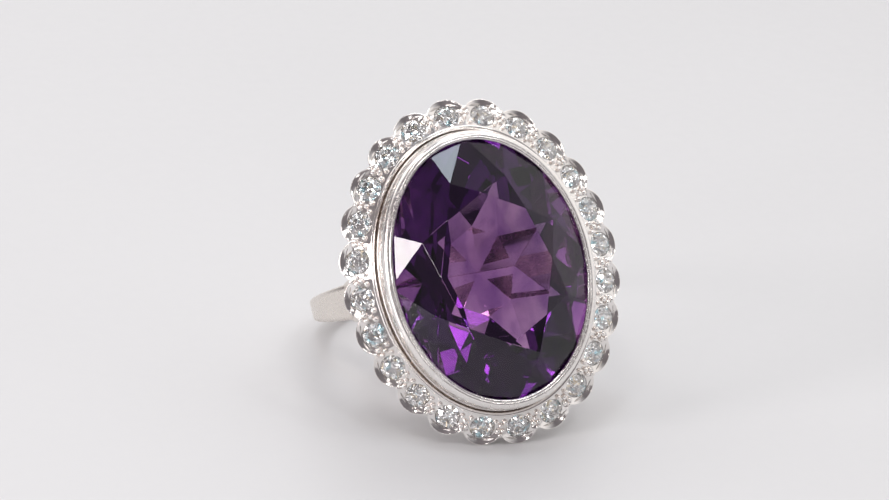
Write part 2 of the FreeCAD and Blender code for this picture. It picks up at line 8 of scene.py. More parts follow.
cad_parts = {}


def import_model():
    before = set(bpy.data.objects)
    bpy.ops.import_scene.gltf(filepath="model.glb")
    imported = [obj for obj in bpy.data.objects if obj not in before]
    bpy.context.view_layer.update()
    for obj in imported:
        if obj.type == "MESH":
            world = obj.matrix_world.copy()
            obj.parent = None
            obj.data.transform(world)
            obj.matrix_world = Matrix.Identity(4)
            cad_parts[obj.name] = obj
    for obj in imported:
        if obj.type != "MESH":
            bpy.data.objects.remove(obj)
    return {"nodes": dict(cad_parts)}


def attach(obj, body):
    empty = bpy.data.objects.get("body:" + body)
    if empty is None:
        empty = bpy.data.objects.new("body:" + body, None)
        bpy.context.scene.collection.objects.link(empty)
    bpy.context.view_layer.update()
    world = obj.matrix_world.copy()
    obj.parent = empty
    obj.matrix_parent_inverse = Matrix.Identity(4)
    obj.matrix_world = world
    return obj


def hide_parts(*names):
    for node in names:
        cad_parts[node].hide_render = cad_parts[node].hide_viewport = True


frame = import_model()
nodes = frame["nodes"]
scene = bpy.context.scene
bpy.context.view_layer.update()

# ------------------------------------------------------------------ frames
# Design frame: finger hole at the origin, finger axis Y, +Z through the stone's table. Millimetres.
AX = np.array(
    [
        [0.982844, 0.081489, 0.165464],
        [-0.184441, 0.434234, 0.881716],
        [0.0, -0.897107, 0.441814],
    ]
)
ORIGIN = np.array([0.0, 4.5537, 4.8734])


def to_row(points):
    """Design millimetres to row-frame metres."""
    return (np.asarray(points, float) @ AX + ORIGIN) * 0.001


def unit(v):
    v = np.asarray(v, float)
    return v / np.linalg.norm(v)


A, B = 8.95, 6.75
HALO_Z, HALO_OUT = 12.60, 1.60
HA, HB = A + HALO_OUT, B + HALO_OUT
TILT = math.radians(28.0)
COUNT = 24


def even_steps(count, shift):
    fine = 7200
    t = 2 * math.pi * (np.arange(fine) + 0.5) / fine
    marks = np.concatenate([[0.0], np.cumsum(np.hypot(HB * np.cos(t), HA * np.sin(t)) * 2 * math.pi / fine)])
    want = marks[-1] * (np.arange(count) + shift) / count
    return list(2 * math.pi * np.interp(want, marks, np.arange(fine + 1)) / fine)


def slope(t):
    """Origin and the three axes (down the slope, along the halo, standing on it) at angle t."""
    x, y = HB * math.sin(t), HA * math.cos(t)
    nx, ny = math.sin(t) / HB, math.cos(t) / HA
    n = math.hypot(nx, ny)
    nx, ny = nx / n, ny / n
    down = np.array([nx * math.cos(TILT), ny * math.cos(TILT), -math.sin(TILT)])
    stand = np.array([nx * math.sin(TILT), ny * math.sin(TILT), math.cos(TILT)])
    return np.array([x, y, HALO_Z]), down, np.cross(stand, down), stand


stones_at = even_steps(COUNT, 0.0)
gaps_at = even_steps(COUNT, 0.5)


def mesh_piece(name, verts, faces, smooth=True):
    """A mesh from design-frame millimetres."""
    me = bpy.data.meshes.new(name)
    me.from_pydata([tuple(p) for p in to_row(verts)], [], faces)
    me.validate()
    ob = bpy.data.objects.new(name, me)
    scene.collection.objects.link(ob)
    me.polygons.foreach_set("use_smooth", [smooth] * len(me.polygons))
    me.update()
    return ob


def weld(ob, dist=2e-7):
    bm = bmesh.new()
    bm.from_mesh(ob.data)
    bmesh.ops.remove_doubles(bm, verts=bm.verts, dist=dist)
    bmesh.ops.dissolve_degenerate(bm, edges=bm.edges, dist=1e-8)
    bmesh.ops.recalc_face_normals(bm, faces=bm.faces)
    bm.to_mesh(ob.data)
    bm.free()
    ob.data.update()


# ------------------------------------------------------------------ node materials
class Net:
    def __init__(self, name):
        self.mat = bpy.data.materials.new(name)
        self.mat.use_nodes = True
        self.nt = self.mat.node_tree
        self.nt.nodes.clear()
        self.out = self.nt.nodes.new("ShaderNodeOutputMaterial")

    def new(self, kind, **props):
        n = self.nt.nodes.new(kind)
        for k, v in props.items():
            setattr(n, k, v)
        return n

    def link(self, a, b):
        self.nt.links.new(a, b)

    def noise(self, vec, scale, detail=4.0, rough=0.55, distort=0.0):
        n = self.new("ShaderNodeTexNoise")
        n.inputs["Scale"].default_value = scale
        n.inputs["Detail"].default_value = detail
        n.inputs["Roughness"].default_value = rough
        n.inputs["Distortion"].default_value = distort
        self.link(vec, n.inputs["Vector"])
        return n.outputs["Fac"]

    def ramp(self, fac, stops):
        r = self.new("ShaderNodeValToRGB")
        el = r.color_ramp.elements
        while len(el) > 1:
            el.remove(el[-1])
        el[0].position, el[0].color = stops[0][0], tuple(stops[0][1]) + (1.0,)
        for p, c in stops[1:]:
            e = el.new(p)
            e.color = tuple(c) + (1.0,)
        self.link(fac, r.inputs["Fac"])
        return r.outputs["Color"]

    def spread(self, fac, a0, a1, b0, b1):
        m = self.new("ShaderNodeMapRange")
        for k, v in (("From Min", a0), ("From Max", a1), ("To Min", b0), ("To Max", b1)):
            m.inputs[k].default_value = v
        self.link(fac, m.inputs["Value"])
        return m.outputs["Result"]

    def math(self, op, a, b=None):
        m = self.new("ShaderNodeMath", operation=op)
        for sock, val in ((m.inputs[0], a), (m.inputs[1], b)):
            if val is None:
                continue
            if isinstance(val, (int, float)):
                sock.default_value = val
            else:
                self.link(val, sock)
        return m.outputs[0]

    def tint(self, fac, a, b):
        m = self.new("ShaderNodeMix", data_type="RGBA")
        for sock, val in ((m.inputs[6], a), (m.inputs[7], b)):
            if isinstance(val, tuple):
                sock.default_value = val + (1.0,)
            else:
                self.link(val, sock)
        self.link(fac, m.inputs[0])
        return m.outputs[2]

    def bump(self, height, strength, distance, normal=None):
        b = self.new("ShaderNodeBump")
        b.inputs["Strength"].default_value = strength
        b.inputs["Distance"].default_value = distance
        self.link(height, b.inputs["Height"])
        if normal is not None:
            self.link(normal, b.inputs["Normal"])
        return b.outputs["Normal"]


def coords(net, stretch=(1, 1, 1), turn=(0, 0, 0)):
    tc = net.new("ShaderNodeTexCoord")
    mp = net.new("ShaderNodeMapping")
    mp.inputs["Scale"].default_value = stretch
    mp.inputs["Rotation"].default_value = turn
    net.link(tc.outputs["Object"], mp.inputs["Vector"])
    return mp.outputs["Vector"]


def metal(name, light, deep, rough=(0.05, 0.16), scratch=0.10, grime_and_painted_shade=0.35, dent=0.25, grain=0.06):
    """Polished white metal: soft colour drift, a dark brown tint in the low spots that is partly dirt and partly
    painted shade, hairline scratches and small dents.
    """
    net = Net(name)
    p = net.new("ShaderNodeBsdfPrincipled")
    p.inputs["Metallic"].default_value = 1.0
    base = coords(net)
    hollow_patches = net.noise(base, 420.0, 5.0, 0.6, 0.4)
    drift = net.noise(base, 130.0, 3.0, 0.5)
    fine = net.noise(base, 2600.0, 6.0, 0.7)
    geo = net.new("ShaderNodeNewGeometry")
    # painted shade with dirt: the concave low spots (low pointiness) are tinted dark brown and made rougher, standing
    # partly for dirt and partly for the shade that falls in hollows
    low = net.spread(geo.outputs["Pointiness"], 0.40, 0.50, 1.0, 0.0)
    dirt_and_painted_shade = net.math("MULTIPLY", low, net.spread(hollow_patches, 0.35, 0.65, 0.3, 1.0))
    dirt_and_painted_shade = net.math("MULTIPLY", dirt_and_painted_shade, grime_and_painted_shade)
    colour = net.tint(net.spread(drift, 0.35, 0.68, 0.0, 1.0), light, deep)
    # mix towards dark brown in the hollows: painted shade together with dirt
    colour = net.tint(dirt_and_painted_shade, colour, (0.16, 0.12, 0.10))
    net.link(colour, p.inputs["Base Color"])
    hair = net.noise(coords(net, (1, 14, 1), (0.3, 0.5, 0.9)), 900.0, 3.0, 0.6)
    hair2 = net.noise(coords(net, (11, 1, 1), (0.9, 0.2, 0.4)), 1100.0, 3.0, 0.6)
    marks = net.math("MAXIMUM", net.spread(hair, 0.62, 0.70, 0.0, 1.0), net.spread(hair2, 0.63, 0.71, 0.0, 1.0))
    rough_now = net.spread(fine, 0.30, 0.72, rough[0], rough[1])
    rough_now = net.math("ADD", rough_now, net.math("MULTIPLY", marks, 0.10))
    rough_now = net.math("ADD", rough_now, net.math("MULTIPLY", dirt_and_painted_shade, 0.35))
    net.link(rough_now, p.inputs["Roughness"])
    dents = net.noise(base, 700.0, 3.0, 0.55)
    n1 = net.bump(dents, dent, 0.00002)
    n2 = net.bump(marks, scratch, 0.000004, n1)
    n3 = net.bump(fine, grain, 0.000006, n2)
    net.link(n3, p.inputs["Normal"])
    net.link(p.outputs[0], net.out.inputs["Surface"])
    return net.mat


halo_metal = metal("white_gold_halo", (0.94, 0.91, 0.89), (0.86, 0.82, 0.79), (0.07, 0.20), 0.10, 0.50, 0.45)
collet_metal = metal("white_gold_collet", (0.93, 0.90, 0.88), (0.86, 0.82, 0.79), (0.16, 0.32), 0.16, 0.45, 0.40)
shank_metal = metal("white_gold_shank", (0.82, 0.77, 0.72), (0.73, 0.67, 0.61), (0.25, 0.30), 0.03, 0.04, 0.012, 0.004)


def gem_amethyst():
    net = Net("amethyst_stone")
    p = net.new("ShaderNodeBsdfPrincipled")
    p.inputs["Transmission Weight"].default_value = 1.0
    p.inputs["IOR"].default_value = 1.55
    base = coords(net)
    zone = net.noise(base, 60.0, 2.0, 0.5, 0.6)
    colour = net.tint(net.spread(zone, 0.35, 0.7, 0.0, 1.0), (1.0, 0.88, 0.82), (0.92, 0.80, 0.78))
    # colour zoning: soft bands a millimetre or two wide, denser in places
    bands = net.noise(coords(net, (1.6, 0.7, 1.0), (0.2, 0.4, 0.6)), 330.0, 2.0, 0.45, 0.5)
    colour = net.tint(net.spread(bands, 0.44, 0.62, 0.0, 1.0), colour, (0.52, 0.38, 0.54))
    net.link(colour, p.inputs["Base Color"])
    worn = net.noise(base, 1500.0, 5.0, 0.65)
    net.link(net.spread(worn, 0.45, 0.80, 0.0, 0.05), p.inputs["Roughness"])
    wave = net.noise(base, 260.0, 2.0, 0.5)
    scr = net.noise(coords(net, (1, 18, 1), (0.2, 0.7, 0.4)), 800.0, 2.0, 0.5)
    n1 = net.bump(wave, 0.10, 0.00001)
    n2 = net.bump(net.spread(scr, 0.66, 0.70, 0.0, 1.0), 0.12, 0.000003, n1)
    net.link(n2, p.inputs["Normal"])
    net.link(p.outputs[0], net.out.inputs["Surface"])
    vol = net.new("ShaderNodeVolumeAbsorption")
    vol.inputs["Color"].default_value = (0.485, 0.200, 0.600, 1.0)
    vol.inputs["Density"].default_value = 300.0
    net.link(vol.outputs[0], net.out.inputs["Volume"])
    return net.mat


def gem_white():
    net = Net("white_stone")
    p = net.new("ShaderNodeBsdfPrincipled")
    p.inputs["Transmission Weight"].default_value = 1.0
    p.inputs["IOR"].default_value = 2.417
    base = coords(net)
    # painted fire: blue, pale yellow and orange patches in the colourless stone's base colour stand for flashes of
    # dispersed light
    painted_fire = net.noise(base, 1900.0, 1.0, 0.4)
    colour = net.ramp(
        net.spread(painted_fire, 0.33, 0.67, 0.0, 1.0),
        [(0.0, (0.40, 0.84, 1.0)), (0.08, (0.86, 0.98, 1.0)), (0.14, (1, 1, 1)), (0.76, (1, 1, 1)), (0.84, (1.0, 0.88, 0.58)), (0.92, (1.0, 0.70, 0.38)), (1.0, (0.72, 0.86, 1.0))],
    )
    net.link(colour, p.inputs["Base Color"])
    worn = net.noise(base, 4200.0, 4.0, 0.6)
    net.link(net.spread(worn, 0.5, 0.85, 0.0, 0.04), p.inputs["Roughness"])
    net.link(net.bump(net.noise(base, 2500.0, 2.0, 0.5), 0.08, 0.000004), p.inputs["Normal"])
    net.link(p.outputs[0], net.out.inputs["Surface"])
    return net.mat


amethyst, white_stone = gem_amethyst(), gem_white()


def dress(ob, mat):
    ob.data.materials.clear()
    ob.data.materials.append(mat)
    return ob


# ------------------------------------------------------------------ faceted stones
FACET_TURN = 2.3


def ring_pts(r, z, n, turn, ax, by):
    turn += FACET_TURN if ax != by else 0.0
    a = np.radians(turn + 360.0 * np.arange(n) / n)
    return [np.array([by * r * math.sin(q), ax * r * math.cos(q), z]) for q in a]


def brilliant(table, star, ax, by, z_low, z_top, up, down, lower):
    T = ring_pts(table, z_top + up, 8, 0, ax, by)
    star_z = up * (1 - star * math.cos(math.radians(22.5))) / (1 - table)
    S = ring_pts(star, z_top + star_z, 8, 22.5, ax, by)
    G = ring_pts(1.0, z_top, 16, 0, ax, by)
    L0 = ring_pts(1.0, z_low, 16, 0, ax, by)
    low_z = z_low - down * (1 - lower * math.cos(math.radians(22.5)))
    L = ring_pts(lower, low_z, 8, 22.5, ax, by)
    verts = T + S + G + L0 + L + [np.array([0, 0, z_low - down])]
    t, s, g, b, l, c = 0, 8, 16, 32, 48, 56
    faces = [list(range(8))]
    for k in range(8):
        n, m = (k + 1) % 8, (k - 1) % 8
        e, f = 2 * k + 1, (2 * k + 2) % 16
        faces += [[t + k, t + n, s + k], [t + k, s + k, g + 2 * k, s + m]]
        faces += [[s + k, g + 2 * k, g + e], [s + k, g + e, g + f]]
        faces += [[b + 2 * k, l + m, c, l + k], [l + k, b + 2 * k, b + e], [l + k, b + e, b + f]]
    for i in range(16):
        j = (i + 1) % 16
        faces.append([g + i, g + j, b + j, b + i])
    return np.array(verts), faces


def old_oval(table, star, ax, by, z_low, z_top, up, down, outer, inner, steep):
    """Brilliant crown over a two-tier pavilion: sixteen halves, eight long kites, eight triangles and eight culet facets."""
    verts, faces = brilliant(table, star, ax, by, z_low, z_top, up, down, outer)
    verts = list(verts[:48])
    faces = [f for f in faces if max(f) < 48]
    verts += ring_pts(outer, z_low - steep * (1 - outer * math.cos(math.radians(22.5))), 8, 22.5, ax, by)
    verts += ring_pts(inner, z_low - steep * (1 - inner), 8, 0, ax, by)
    verts.append(np.array([0, 0, z_low - down]))
    b, l, m, c = 32, 48, 56, 64
    for k in range(8):
        n, q = (k + 1) % 8, (k - 1) % 8
        faces += [[b + 2 * k, l + q, m + k, l + k], [l + k, b + 2 * k, b + 2 * k + 1], [l + k, b + 2 * k + 1, b + (2 * k + 2) % 16]]
        faces += [[m + k, l + k, m + n], [m + k, m + n, c]]
    return np.array(verts), faces


def cut_stone(name, verts, faces, mat, worn):
    ob = mesh_piece(name, verts, faces, smooth=False)
    weld(ob)
    bev = ob.modifiers.new("worn_edges", "BEVEL")
    bev.width, bev.segments, bev.limit_method, bev.angle_limit = worn, 1, "ANGLE", math.radians(4)
    bev.offset_type = "OFFSET"
    return dress(ob, mat)


v, f = old_oval(0.56, 0.715, A, B, 14.56, 14.78, 2.10, 6.10, 0.66, 0.34, 7.6)
centre = cut_stone("centre_stone_cut", v, f, amethyst, 0.000018)
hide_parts("centre_stone")
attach(centre, "root")

SMALL_IN = 0.09
sv, sf = brilliant(0.50, 0.70, 0.81, 0.81, -0.045, 0.0, 0.29, 0.64, 0.30)
rng = np.random.RandomState(11)
for i, t in enumerate(stones_at):
    o, down, side, stand = slope(t)
    a = math.radians((i * 137.5) % 45.0)
    ca, sa = math.cos(a), math.sin(a)
    x = sv[:, 0] * ca - sv[:, 1] * sa
    y = sv[:, 0] * sa + sv[:, 1] * ca
    # a few thousandths of tilt, as hand-set stones have
    w = rng.normal(0, 0.010, 2)
    z = sv[:, 2] + 0.002 + w[0] * x + w[1] * y
    pts = o - down * SMALL_IN + np.outer(x, down) + np.outer(y, side) + np.outer(z, stand)
    d = cut_stone("small_stone_cut_%02d" % (i + 1), pts, sf, white_stone, 0.000006)
    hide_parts("small_stone_%02d" % (i + 1))
    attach(d, "root")

# ------------------------------------------------------------------ halo plate
SC_OUT, SC_R, SC_BACK = -0.27, 1.40, 1.26
DOWN, RISE = -1.25, 0.20
SEAT, EDGE, HOLE = 0.83, 0.08, 0.48
RIM_IN, FOOT = -0.98, 0.38
CH_BACK = -1.02


def smooth(x, a, b):
    q = np.clip((x - a) / (b - a), 0, 1)
    return q * q * (3 - 2 * q)


def dish_height(x, y):
    """Height over the girdle plane of the worked top, x outward from the halo's oval and y along it: a bright-cut dish up to a thin edge."""
    # the rings between the seat and the edge have moving centres: solve for the ring through the point
    lo, hi = np.zeros_like(x), np.full_like(x, 1.6)
    for _ in range(26):
        m = (lo + hi) / 2
        c = -SMALL_IN + m * (SMALL_IN + SC_OUT)
        r = SEAT + m * (SC_R - EDGE - SEAT)
        inside = np.hypot(x - c, y) < r
        lo, hi = np.where(inside, lo, m), np.where(inside, m, hi)
    f = lo
    # slightly hollow dish, softened where it meets the edge
    h = RISE * (0.80 * f + 0.20 * f * f)
    soft = 0.05
    h = -soft * np.log(np.exp(-h / soft) + np.exp(-(RISE + 0.012) / soft)) + 0.0
    h = np.where(f > 1.0, np.minimum(h + 0.03, RISE), np.minimum(h * 1.06, RISE))
    return smooth(x, 0.02, 0.34) * np.clip(h, 0.0, RISE)


def halo_cell(i, verts, faces):
    o, down, side, stand = slope(stones_at[i])
    ga, gb = slope(gaps_at[(i - 1) % COUNT]), slope(gaps_at[i])

    def local(p):
        q = np.asarray(p) - o
        return np.stack([q @ down, q @ side, q @ stand], -1)

    def world(x, y, z):
        return o + np.multiply.outer(x, down) + np.multiply.outer(y, side) + np.multiply.outer(z, stand)

    # notch on each gap line
    ends = []
    for g in (ga, gb):
        lo, hi = 0.0, 1.0
        for _ in range(50):
            m = (lo + hi) / 2
            q = local(g[0] + g[1] * m)
            lo, hi = (m, hi) if math.hypot(q[0] - SC_OUT, q[1]) < SC_R else (lo, m)
        ends.append(lo)
    # boundary loop in the girdle plane: side b (inner to notch), arc, side a (notch to inner), inner line
    ns, na, ni = 22, 56, 26
    sb = [gb[0] + gb[1] * s for s in np.linspace(RIM_IN, ends[1], ns)]
    sa = [ga[0] + ga[1] * s for s in np.linspace(ends[0], RIM_IN, ns)]
    pb, pa = local(sb[-1]), local(sa[0])
    fb = math.atan2(pb[1], pb[0] - SC_OUT)
    fa = math.atan2(pa[1], pa[0] - SC_OUT)
    arc = [(SC_OUT + SC_R * math.cos(q), SC_R * math.sin(q)) for q in np.linspace(fb, fa, na)]
    ta, tb = gaps_at[(i - 1) % COUNT], gaps_at[i]
    if ta > tb:
        ta -= 2 * math.pi
    inner = []
    for s in np.linspace(0, 1, ni):
        g = slope(ta + (tb - ta) * s)
        inner.append(g[0] + g[1] * RIM_IN)
    loop = [tuple(local(p)[:2]) for p in sb] + arc[1:-1] + [tuple(local(p)[:2]) for p in sa] + [tuple(local(p)[:2]) for p in inner[1:-1]]
    L = np.array(loop)
    K = len(L)
    kind = np.array([0] * ns + [1] * (na - 2) + [0] * ns + [2] * (ni - 2))
    kind[ns - 1] = kind[ns + na - 2] = 1
    ang = np.arctan2(L[:, 1], L[:, 0] + SMALL_IN)
    dist = np.hypot(L[:, 0] + SMALL_IN, L[:, 1])
    cx, cy = np.cos(ang), np.sin(ang)
    rings = []

    def ring(r, z):
        rings.append(world(cx * r - SMALL_IN, cy * r, z))

    def top_at(r):
        return dish_height(cx * r - SMALL_IN, cy * r)

    # how far out each ray meets the inner line of the scalloped edge
    lo, hi = np.zeros(K), np.full(K, 3.0)
    for _ in range(30):
        m = (lo + hi) / 2
        inside = np.hypot(cx * m - SMALL_IN - SC_OUT, cy * m) < SC_R - EDGE
        lo, hi = np.where(inside, m, lo), np.where(inside, hi, m)
    brim = np.minimum(lo, SEAT + (dist - SEAT) * 0.90)

    # underside to seat
    for r, z in ((0.53, CH_BACK), (HOLE + 0.01, -0.96), (HOLE, -0.93), (HOLE, -0.37), (HOLE + 0.01, -0.365), (0.80, -0.085), (0.825, -0.06), (SEAT, -0.045)):
        ring(r * np.ones(K), z * np.ones(K))
    # the dish, out to the edge that the whole scallop leaves standing
    for q in (0.0, 0.02, 0.06, 0.14, 0.26, 0.40, 0.54, 0.68, 0.80, 0.89, 0.95, 0.985, 1.0):
        r = SEAT + (brim - SEAT) * q
        ring(r, top_at(r))
    edge = 0.030
    outer = kind == 1
    inner_end = dist - edge * outer
    for q in (0.30, 0.62, 0.86):
        r = brim + (inner_end - brim) * q
        ring(r, top_at(r))
    lift = top_at(dist)
    for q in (0.0, 22.0, 45.0, 68.0):
        sn, cs = math.sin(math.radians(q)), math.cos(math.radians(q))
        r = np.where(outer, dist - edge * (1 - sn), brim + (dist - brim) * (0.90 + 0.02 * q / 22.0))
        h = top_at(r) - np.where(outer, edge * (1 - cs), 0.0)
        ring(r, h)
    # boundary ring, with side points exactly on the gap planes
    h = lift - edge * outer
    top = world(L[:, 0], L[:, 1], h)
    for k in range(ns):
        top[k] = gb[0] + gb[1] * np.linspace(RIM_IN, ends[1], ns)[k] + gb[3] * h[k]
        j = ns + na - 2 + k
        top[j] = ga[0] + ga[1] * np.linspace(ends[0], RIM_IN, ns)[k] + ga[3] * h[j]
    rings.append(top)

    base = len(verts)
    for r in rings:
        verts.extend(r)
    R = len(rings)
    for m in range(R - 1):
        for k in range(K):
            n = (k + 1) % K
            a0, b0 = base + m * K + k, base + m * K + n
            faces.append([a0, b0, b0 + K, a0 + K])

    # outer wall: from the notch b round to the notch a, down the back-tapered scallop to the underside
    cols = list(range(ns - 1, ns + na - 1))
    us = [-0.02, -0.30, -0.60, -0.90, -1.16, -1.215, -1.25]
    prev = [base + (R - 1) * K + k for k in cols]
    walls = []
    frac = np.linspace(1, -1, na)
    for u in us:
        ins = 0.0
        if u < -1.17:
            ins = 0.02 if u > -1.22 else 0.055
        rad = SC_BACK + (SC_R - SC_BACK) * (u - DOWN) / (RISE - DOWN) - ins
        row = []
        for fi in frac:
            g, fm = (gb, fb) if fi >= 0 else (ga, -fa)
            # the angle where this circle meets the gap plane
            c0 = o + down * SC_OUT + stand * u
            lo, hi = 0.3, 1.5
            s = 1.0 if fi >= 0 else -1.0
            for _ in range(22):
                m = (lo + hi) / 2
                p = c0 + down * rad * math.cos(m) + side * rad * math.sin(m) * s
                inside = (p - g[0]) @ g[2] * s < 0
                lo, hi = (m, hi) if inside else (lo, m)
            q = abs(fi) * lo
            x, y = SC_OUT + rad * math.cos(q), rad * math.sin(q) * s
            band = 0.41 + 0.05 * (u - 0.10) / 1.12 * 2 - max(0.0, ins)
            # the band fills the foot of the notch with a small fillet
            blend = 0.05
            x = blend * math.log(math.exp(x / blend) + math.exp(band / blend))
            row.append(o + down * x + side * y + stand * u)
        walls.append(row)
    for row in walls:
        cur = list(range(len(verts), len(verts) + na))
        verts.extend(row)
        for k in range(na - 1):
            faces.append([prev[k], prev[k + 1], cur[k + 1], cur[k]])
        prev = cur
    # underside: in from the skirt, then to the flare of the hole
    pts = np.array([local(p) for p in walls[-1]])
    row1 = [world(min(p[0] - 0.10, 9), p[1] * 0.96, CH_BACK) for p in pts]
    cur = list(range(len(verts), len(verts) + na))
    verts.extend(row1)
    for k in range(na - 1):
        faces.append([prev[k], prev[k + 1], cur[k + 1], cur[k]])
    # fan the hole ring's matching columns to the skirt
    hole = [base + k for k in cols]
    for k in range(na - 1):
        faces.append([cur[k], cur[k + 1], hole[k + 1], hole[k]])
    # side and inner underside
    def under(k):
        return world(L[k, 0], L[k, 1], CH_BACK)
    sb_cols = list(range(0, ns))
    sa_cols = list(range(ns + na - 2, ns + na - 2 + ns))
    in_cols = list(range(ns + na - 2 + ns - 1, K)) + [0]
    for group, gg, outs in ((sb_cols, gb, np.linspace(RIM_IN, ends[1], ns)), (sa_cols, ga, np.linspace(ends[0], RIM_IN, ns))):
        cur = list(range(len(verts), len(verts) + len(group)))
        verts.extend([gg[0] + gg[1] * s + gg[3] * CH_BACK for s in outs])
        for k in range(len(group) - 1):
            faces.append([cur[k], cur[k + 1], base + group[k + 1], base + group[k]])
    cur = list(range(len(verts), len(verts) + len(in_cols)))
    for k in in_cols:
        q = L[k]
        verts.append(world(q[0], q[1], CH_BACK))
    for k in range(len(in_cols) - 1):
        faces.append([cur[k], cur[k + 1], base + in_cols[k + 1], base + in_cols[k]])


hv, hf = [], []
for i in range(COUNT):
    halo_cell(i, hv, hf)

# the smooth inner rim, once round
n = 960
rim_profile = [(-0.78, CH_BACK), (-0.86, -0.30), (-0.97, 0.0), (-0.985, 0.045), (-0.995, 0.105), (-1.015, 0.145), (-1.045, 0.165), (-1.10, 0.172), (-1.16, 0.170)]
base = len(hv)
rows = []
for out, up in rim_profile:
    rows.append([(out, up)] * n)
grown = []
for k in range(n):
    t = 2 * math.pi * k / n
    o, down, side, stand = slope(t)
    wob = 0.006 * math.sin(9 * t + 1.0) + 0.004 * math.sin(23 * t)
    col = [o + down * (out + (wob if 1 < j < 8 else 0)) + stand * up for j, (out, up) in enumerate(rim_profile)]
    # down the joint gap to the collet and along the opening's wall
    rad = unit([down[0], down[1], 0])
    foot = np.array([o[0], o[1], 0]) - rad * (HALO_OUT - FOOT)
    for ins, z in ((0.135, 0.585), (0.112, 0.56), (0.102, 0.50), (0.100, 0.31), (0.006, 0.20), (0.004, 0.0), (0.004, -0.90)):
        col.append(foot + rad * ins + np.array([0, 0, HALO_Z + z]))
    grown.append(col)
m = len(grown[0])
for col in grown:
    hv.extend(col)
for k in range(n):
    a0, b0 = base + k * m, base + ((k + 1) % n) * m
    for j in range(m - 1):
        hf.append([a0 + j, a0 + j + 1, b0 + j + 1, b0 + j])
    hf.append([a0 + m - 1, a0, b0, b0 + m - 1])

# grains, each one pushed over by hand: a little different in size and place
GRAINS = [(0.0, 0.40), (-0.187, 0.06), (0.187, 0.06), (0.0, -0.30), (-0.32, -0.60), (0.32, -0.60)]
rng = np.random.RandomState(5)
for t in gaps_at:
    o, down, side, stand = slope(t)
    for along, out in GRAINS:
        r = 0.185 * (1 + rng.uniform(-0.09, 0.05))
        c = o + down * (out + rng.normal(0, 0.018)) + side * (along + rng.normal(0, 0.016)) + stand * 0.115
        base = len(hv)
        seg, rows = 20, 12
        lean = rng.normal(0, 0.10, 2)
        for j in range(rows + 1):
            q = math.radians(-40 + 130 * j / rows)
            for s in range(seg):
                a = 2 * math.pi * s / seg
                h = math.sin(q)
                h = h if h < 0.82 else 0.82 + (h - 0.82) * 0.45
                w = math.cos(q) * (1.0 if q > 0 else 1.0 + 0.05)
                p = np.array([w * math.cos(a), w * math.sin(a), h])
                p[2] += lean[0] * p[0] * max(h, 0) + lean[1] * p[1] * max(h, 0)
                hv.append(c + r * (p[0] * down + p[1] * side + p[2] * stand))
        for j in range(rows):
            for s in range(seg):
                s2 = (s + 1) % seg
                hf.append([base + j * seg + s, base + j * seg + s2, base + (j + 1) * seg + s2, base + (j + 1) * seg + s])
        hf.append([base + rows * seg + s for s in range(seg)])

halo = mesh_piece("halo_setting", np.array(hv), hf)
weld(halo, 3e-7)
halo.data.polygons.foreach_set("use_smooth", [True] * len(halo.data.polygons))
dress(halo, halo_metal)
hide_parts("halo_plate")
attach(halo, "root")

# ------------------------------------------------------------------ collet
OUTER = [
    (-0.50, -1.75), (-0.30, -1.66), (0.30, -1.20), (0.36, -1.14), (0.38, -1.08), (0.38, -0.40), (0.38, 0.30),
    (0.38, 0.86), (0.374, 0.895), (0.350, 0.915), (0.322, 0.935), (0.316, 0.965), (0.330, 0.990), (0.340, 1.02),
    (0.342, 1.30), (0.342, 1.60), (0.340, 1.90), (0.334, 2.02), (0.318, 2.13), (0.290, 2.235), (0.250, 2.325),
    (0.200, 2.400), (0.140, 2.460), (0.075, 2.505), (0.010, 2.532), (-0.045, 2.545), (-0.075, 2.545),
    (-0.095, 2.528), (-0.108, 2.522), (-0.122, 2.530), (-0.140, 2.548), (-0.165, 2.560), (-0.200, 2.565),
    (-0.235, 2.562), (-0.275, 2.545), (-0.315, 2.515), (-0.345, 2.485), (-0.358, 2.468), (-0.352, 2.455),
]
INNER = [(-0.30, 2.425), (-0.12, 2.285), (0.015, 2.18), (0.015, 0.61), (-0.50, 0.60), (-0.50, -1.05), (-0.95, -1.70), (-0.80, -1.76)]
profile = OUTER + INNER
n = 720
cv, cf = [], []
rng = np.random.RandomState(3)
waves = [(rng.randint(3, 40), rng.uniform(0, 6.28), rng.uniform(0.0005, 0.0022)) for _ in range(16)]
for k in range(n):
    t = 2 * math.pi * k / n
    wob = sum(a * math.sin(f * t + ph) for f, ph, a in waves)
    for j, (g, z) in enumerate(profile):
        s = wob if 12 <= j <= 38 else 0.0
        # the lip is rubbed over by hand, so its inner edge wanders a little
        e = 0.008 * math.sin(7 * t + 0.4) + 0.006 * math.sin(19 * t) if 28 <= j <= 39 else 0.0
        gg = g + s + e * 0.6
        cv.append([(B + gg) * math.sin(t), (A + gg) * math.cos(t), HALO_Z + z + s * 0.6])
m = len(profile)
for k in range(n):
    a0, b0 = k * m, ((k + 1) % n) * m
    for j in range(m):
        j2 = (j + 1) % m
        cf.append([a0 + j, a0 + j2, b0 + j2, b0 + j])
collet = mesh_piece("collet_turned", np.array(cv), cf)
weld(collet, 1e-8)
collet.data.polygons.foreach_set("use_smooth", [True] * len(collet.data.polygons))
dress(collet, collet_metal)
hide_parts("centre_collet")
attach(collet, "root")

# ------------------------------------------------------------------ the carried-over pieces
for name, ob in nodes.items():
    if name in ("centre_stone", "centre_collet", "halo_plate") or name.startswith("small_stone"):
        continue
    dress(ob, collet_metal if name == "collet_bearer" else shank_metal)

